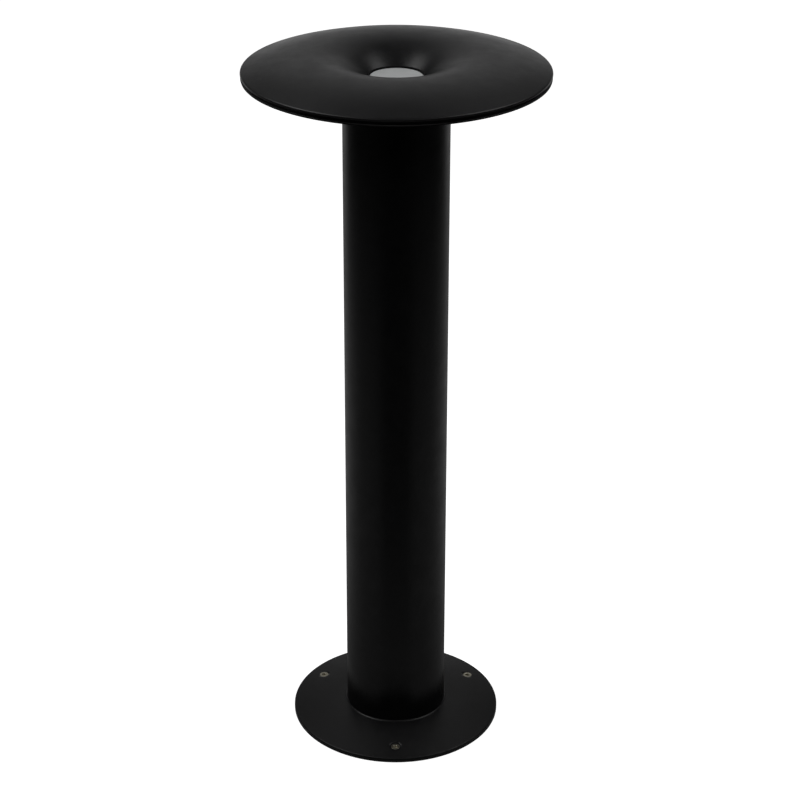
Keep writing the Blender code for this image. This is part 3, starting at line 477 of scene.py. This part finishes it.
def flange_top():
    """The flange's top from the end of its fillet out to the rim's rounding."""
    start = (POST_RADIUS + SEAM_GAP + FLANGE_FILLET, FLANGE_NECK_Z)
    end = (FLANGE_RADIUS - FLANGE_EDGE, FLANGE_RIM)
    span = end[0] - start[0]
    fall = start[1] - end[1]
    start_handle = (start[0] + span * 0.35, start[1] - fall * 0.2)
    end_handle = (end[0] - span * 0.3, end[1] + fall * 0.35)
    return bezier(start, start_handle, end_handle, end, 24)


def middle_of(low, high):
    return ((low.x + high.x) / 2.0, (low.y + high.y) / 2.0)


def build_flange():
    neck = POST_RADIUS + SEAM_GAP
    bore = POST_RADIUS - POST_WALL - SEAM_GAP
    seat = POST_LOW.z - SEAM_GAP
    outline = [(neck, seat)]
    outline += arc((neck + FLANGE_FILLET, FLANGE_NECK_Z + FLANGE_FILLET), FLANGE_FILLET, 180.0, 270.0, 8)
    outline += flange_top()[1:-1]
    outline += arc((FLANGE_RADIUS - FLANGE_EDGE, FLANGE_RIM - FLANGE_EDGE), FLANGE_EDGE, 90.0, 0.0, 5)
    outline += [
        (FLANGE_RADIUS, FLANGE_FOOT),
        (FLANGE_RADIUS - FLANGE_FOOT, 0.0),
        (RECESS_RADIUS, 0.0),
        (RECESS_RADIUS, RECESS_DEPTH),
        (RELIEF[1], RECESS_DEPTH),
        (RELIEF[1], RELIEF[2]),
        (RELIEF[0], RELIEF[2]),
        (RELIEF[0], RECESS_DEPTH),
        (WEB[0], RECESS_DEPTH),
        (WEB[0], WEB[1]),
        (GLAND_HOLE, WEB[1]),
        (GLAND_HOLE, WEB[2]),
        (SPIGOT_BORE, WEB[2]),
        (SPIGOT_BORE, FLANGE_HIGH.z),
        (bore - SPIGOT_EDGE, FLANGE_HIGH.z),
        (bore, FLANGE_HIGH.z - SPIGOT_EDGE),
        (bore, seat),
    ]
    flange = turned("flange_skin", outline, 240, BLACK)
    for name in SCREWS:
        low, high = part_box(name)
        top = high.z
        below, above = -0.001, top + 0.004
        rows = [(0.0, below), (SINK_HOLE, below), (SINK_HOLE, top - SINK_DEPTH)]
        rows += [(SINK_RADIUS, top), (SINK_LIP, top + 0.0008), (SINK_LIP, above), (0.0, above)]
        cut(flange, turned(f"countersink_{name}", rows, 48, None, middle_of(low, high)))
    place_piece(flange, "black_coat", "base_flange")


def build_flange_screws():
    for name in SCREWS:
        low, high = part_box(name)
        head = (high.x - low.x) / 2.0
        top = high.z
        rows = [
            (0.0, low.z),
            (SCREW_SHANK - 0.0004, low.z),
            (SCREW_SHANK, low.z + 0.0004),
            (SCREW_SHANK, top - 0.0025),
            (head - 0.0001, top - 0.0004),
            (head, top - 0.0003),
            (head, top - 0.0002),
            (head - 0.0002, top),
            (SCREW_KEY + 0.0004, top),
            (SCREW_KEY + 0.00015, top - 0.0002),
            (SCREW_KEY, top - 0.0003, 6),
            (SCREW_KEY, top - 0.0018, 6),
            (0.0, top - 0.0024),
        ]
        screw = turned(f"{name}_body", rows, 48, SCREW_STEEL, middle_of(low, high), turn=SCREW_TURN)
        place_piece(screw, "stainless", name)


def dress_inner_parts():
    """The parts inside and underneath keep their CAD shape and get a real finish."""
    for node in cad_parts.values():
        if not node.hide_render:
            finish = node.data.materials[0].name
            node.data.materials[0] = LOOKS[finish]


# Room

GLOWS = (
    # elevation and half height, bearing from +Y and half width on both sides of it, strength
    (-24.5, 5.5, 0.0, 80.0, 0.34),  # pale floor behind and beside the object
    (-27.0, 8.0, 112.0, 33.0, 0.20),  # the floor at both sides, nearer the camera
    (-45.0, 12.0, 180.0, 40.0, 0.22),  # the floor in front of it
    (41.0, 12.0, 180.0, 40.0, 0.35),  # soft light from over the camera, for the edges
    (-6.0, 9.0, 0.0, 52.0, 0.62),  # bright foot of the wall behind
    (9.0, 7.0, 0.0, 28.0, 0.20),  # the wall above it
)
SOFT_EDGE = 5.0  # degrees
FLOOR_RADIUS = 30.0
AIM_HEIGHT = 0.4
SIDE_BOX = (1.5, 1.2)
BACK_BOX = (1.5, 1.6)

# Camera
CAMERA_SPOT = (0.0038, -1.9176, 1.2861)
CAMERA_DIP = 25.306  # degrees below the horizon
CAMERA_ROLL = 0.13  # degrees
FOCAL_LENGTH = 98.465  # mm, on a sensor 36 mm wide


def build_floor():
    bm = bmesh.new()
    bmesh.ops.create_circle(bm, cap_ends=True, radius=FLOOR_RADIUS, segments=64)
    n = Nodes("studio_floor")
    n.set(Specular_IOR_Level=0.1, Emission_Strength=0.97)
    n.shader.inputs["Base Color"].default_value = (0.8, 0.8, 0.8, 1.0)
    n.shader.inputs["Emission Color"].default_value = (1.0, 1.0, 1.0, 1.0)
    n.finish(roughness=n.span(n.noise(30.0), 0.85, 0.95))
    floor = new_object("studio_floor", bm, n.material)
    floor.visible_diffuse = False
    floor.visible_glossy = False


def build_softbox(name, bearing, elevation, distance, size, radiance):
    """A rectangular panel of light aimed at the post; the bearing is from +Y towards +X."""
    turn, rise = math.radians(bearing), math.radians(elevation)
    aim = Vector((0.0, 0.0, AIM_HEIGHT))
    out = Vector((math.sin(turn) * math.cos(rise), math.cos(turn) * math.cos(rise), math.sin(rise)))
    light = bpy.data.lights.new(name, "AREA")
    light.shape = "RECTANGLE"
    light.size, light.size_y = size
    light.energy = radiance * math.pi * size[0] * size[1]
    lamp = bpy.data.objects.new(name, light)
    bpy.context.scene.collection.objects.link(lamp)
    lamp.location = aim + out * distance
    lamp.rotation_euler = out.to_track_quat("Z", "Y").to_euler()
    lamp.visible_camera = False


class World:
    """Short hand for the world's node tree."""

    def __init__(self):
        self.world = bpy.data.worlds.new("studio")
        bpy.context.scene.world = self.world
        self.world.use_nodes = True
        self.tree = self.world.node_tree

    def link(self, output, node, socket):
        self.tree.links.new(output, node.inputs[socket])

    def math(self, operation, first, second=None):
        node = self.tree.nodes.new("ShaderNodeMath")
        node.operation = operation
        for i, value in enumerate((first, second)):
            if isinstance(value, float):
                node.inputs[i].default_value = value
            elif value is not None:
                self.link(value, node, i)
        return node.outputs["Value"]

    def band(self, angle, middle, half_width):
        """1 within a band of angles and 0 outside it, with a soft edge.

        The angle comes in radians, the middle and the half width in degrees.
        """
        away = self.math("ABSOLUTE", self.math("SUBTRACT", angle, math.radians(middle)))
        node = self.tree.nodes.new("ShaderNodeMapRange")
        node.interpolation_type = "SMOOTHSTEP"
        self.link(away, node, "Value")
        node.inputs["From Min"].default_value = math.radians(half_width - SOFT_EDGE)
        node.inputs["From Max"].default_value = math.radians(half_width + SOFT_EDGE)
        node.inputs["To Min"].default_value = 1.0
        node.inputs["To Max"].default_value = 0.0
        return node.outputs["Result"]


def build_world():
    """White to the camera; to the object a dim room with a pale floor and a wall behind."""
    w = World()
    direction = w.tree.nodes.new("ShaderNodeTexCoord")
    split = w.tree.nodes.new("ShaderNodeSeparateXYZ")
    w.link(direction.outputs["Generated"], split, "Vector")
    x, y, z = (split.outputs[axis] for axis in "XYZ")
    elevation = w.math("ARCSINE", z)
    bearing = w.math("ABSOLUTE", w.math("ARCTAN2", x, y))
    total = 0.0
    for middle, half_height, side, half_width, strength in GLOWS:
        across = w.band(bearing, side, half_width)
        glow = w.math("MULTIPLY", w.band(elevation, middle, half_height), across)
        total = w.math("ADD", total, w.math("MULTIPLY", glow, strength))
    seen = w.tree.nodes["Background"]
    seen.inputs["Color"].default_value = (1.0, 1.0, 1.0, 1.0)
    felt = w.tree.nodes.new("ShaderNodeBackground")
    felt.inputs["Color"].default_value = (1.0, 1.0, 1.0, 1.0)
    w.link(total, felt, "Strength")
    path = w.tree.nodes.new("ShaderNodeLightPath")
    mix = w.tree.nodes.new("ShaderNodeMixShader")
    w.link(path.outputs["Is Camera Ray"], mix, "Fac")
    w.link(felt.outputs["Background"], mix, 1)
    w.link(seen.outputs["Background"], mix, 2)
    w.link(mix.outputs["Shader"], w.tree.nodes["World Output"], "Surface")


def build_camera():
    data = bpy.data.cameras.new("camera")
    data.sensor_width = 36.0
    data.lens = FOCAL_LENGTH
    data.shift_y = -0.0313
    data.clip_end = 100.0
    camera = bpy.data.objects.new("camera", data)
    bpy.context.scene.collection.objects.link(camera)
    camera.location = CAMERA_SPOT
    pitch = Matrix.Rotation(math.radians(90.0 - CAMERA_DIP), 4, "X")
    roll = Matrix.Rotation(math.radians(CAMERA_ROLL), 4, "Z")
    camera.rotation_euler = (pitch @ roll).to_euler()
    bpy.context.scene.camera = camera


bpy.context.scene.view_settings.view_transform = "Standard"
build_head_shell()
build_underplate()
build_lens()
build_seal_and_shade_lip()
build_post()
build_flange()
build_flange_screws()
dress_inner_parts()
build_floor()
build_softbox("left_softbox", -80.0, 55.0, 2.3, SIDE_BOX, 2.15)
build_softbox("right_softbox", 80.0, 55.0, 2.3, SIDE_BOX, 1.6)
build_softbox("back_softbox", 0.0, 36.0, 2.48, BACK_BOX, 0.265)
build_world()
build_camera()
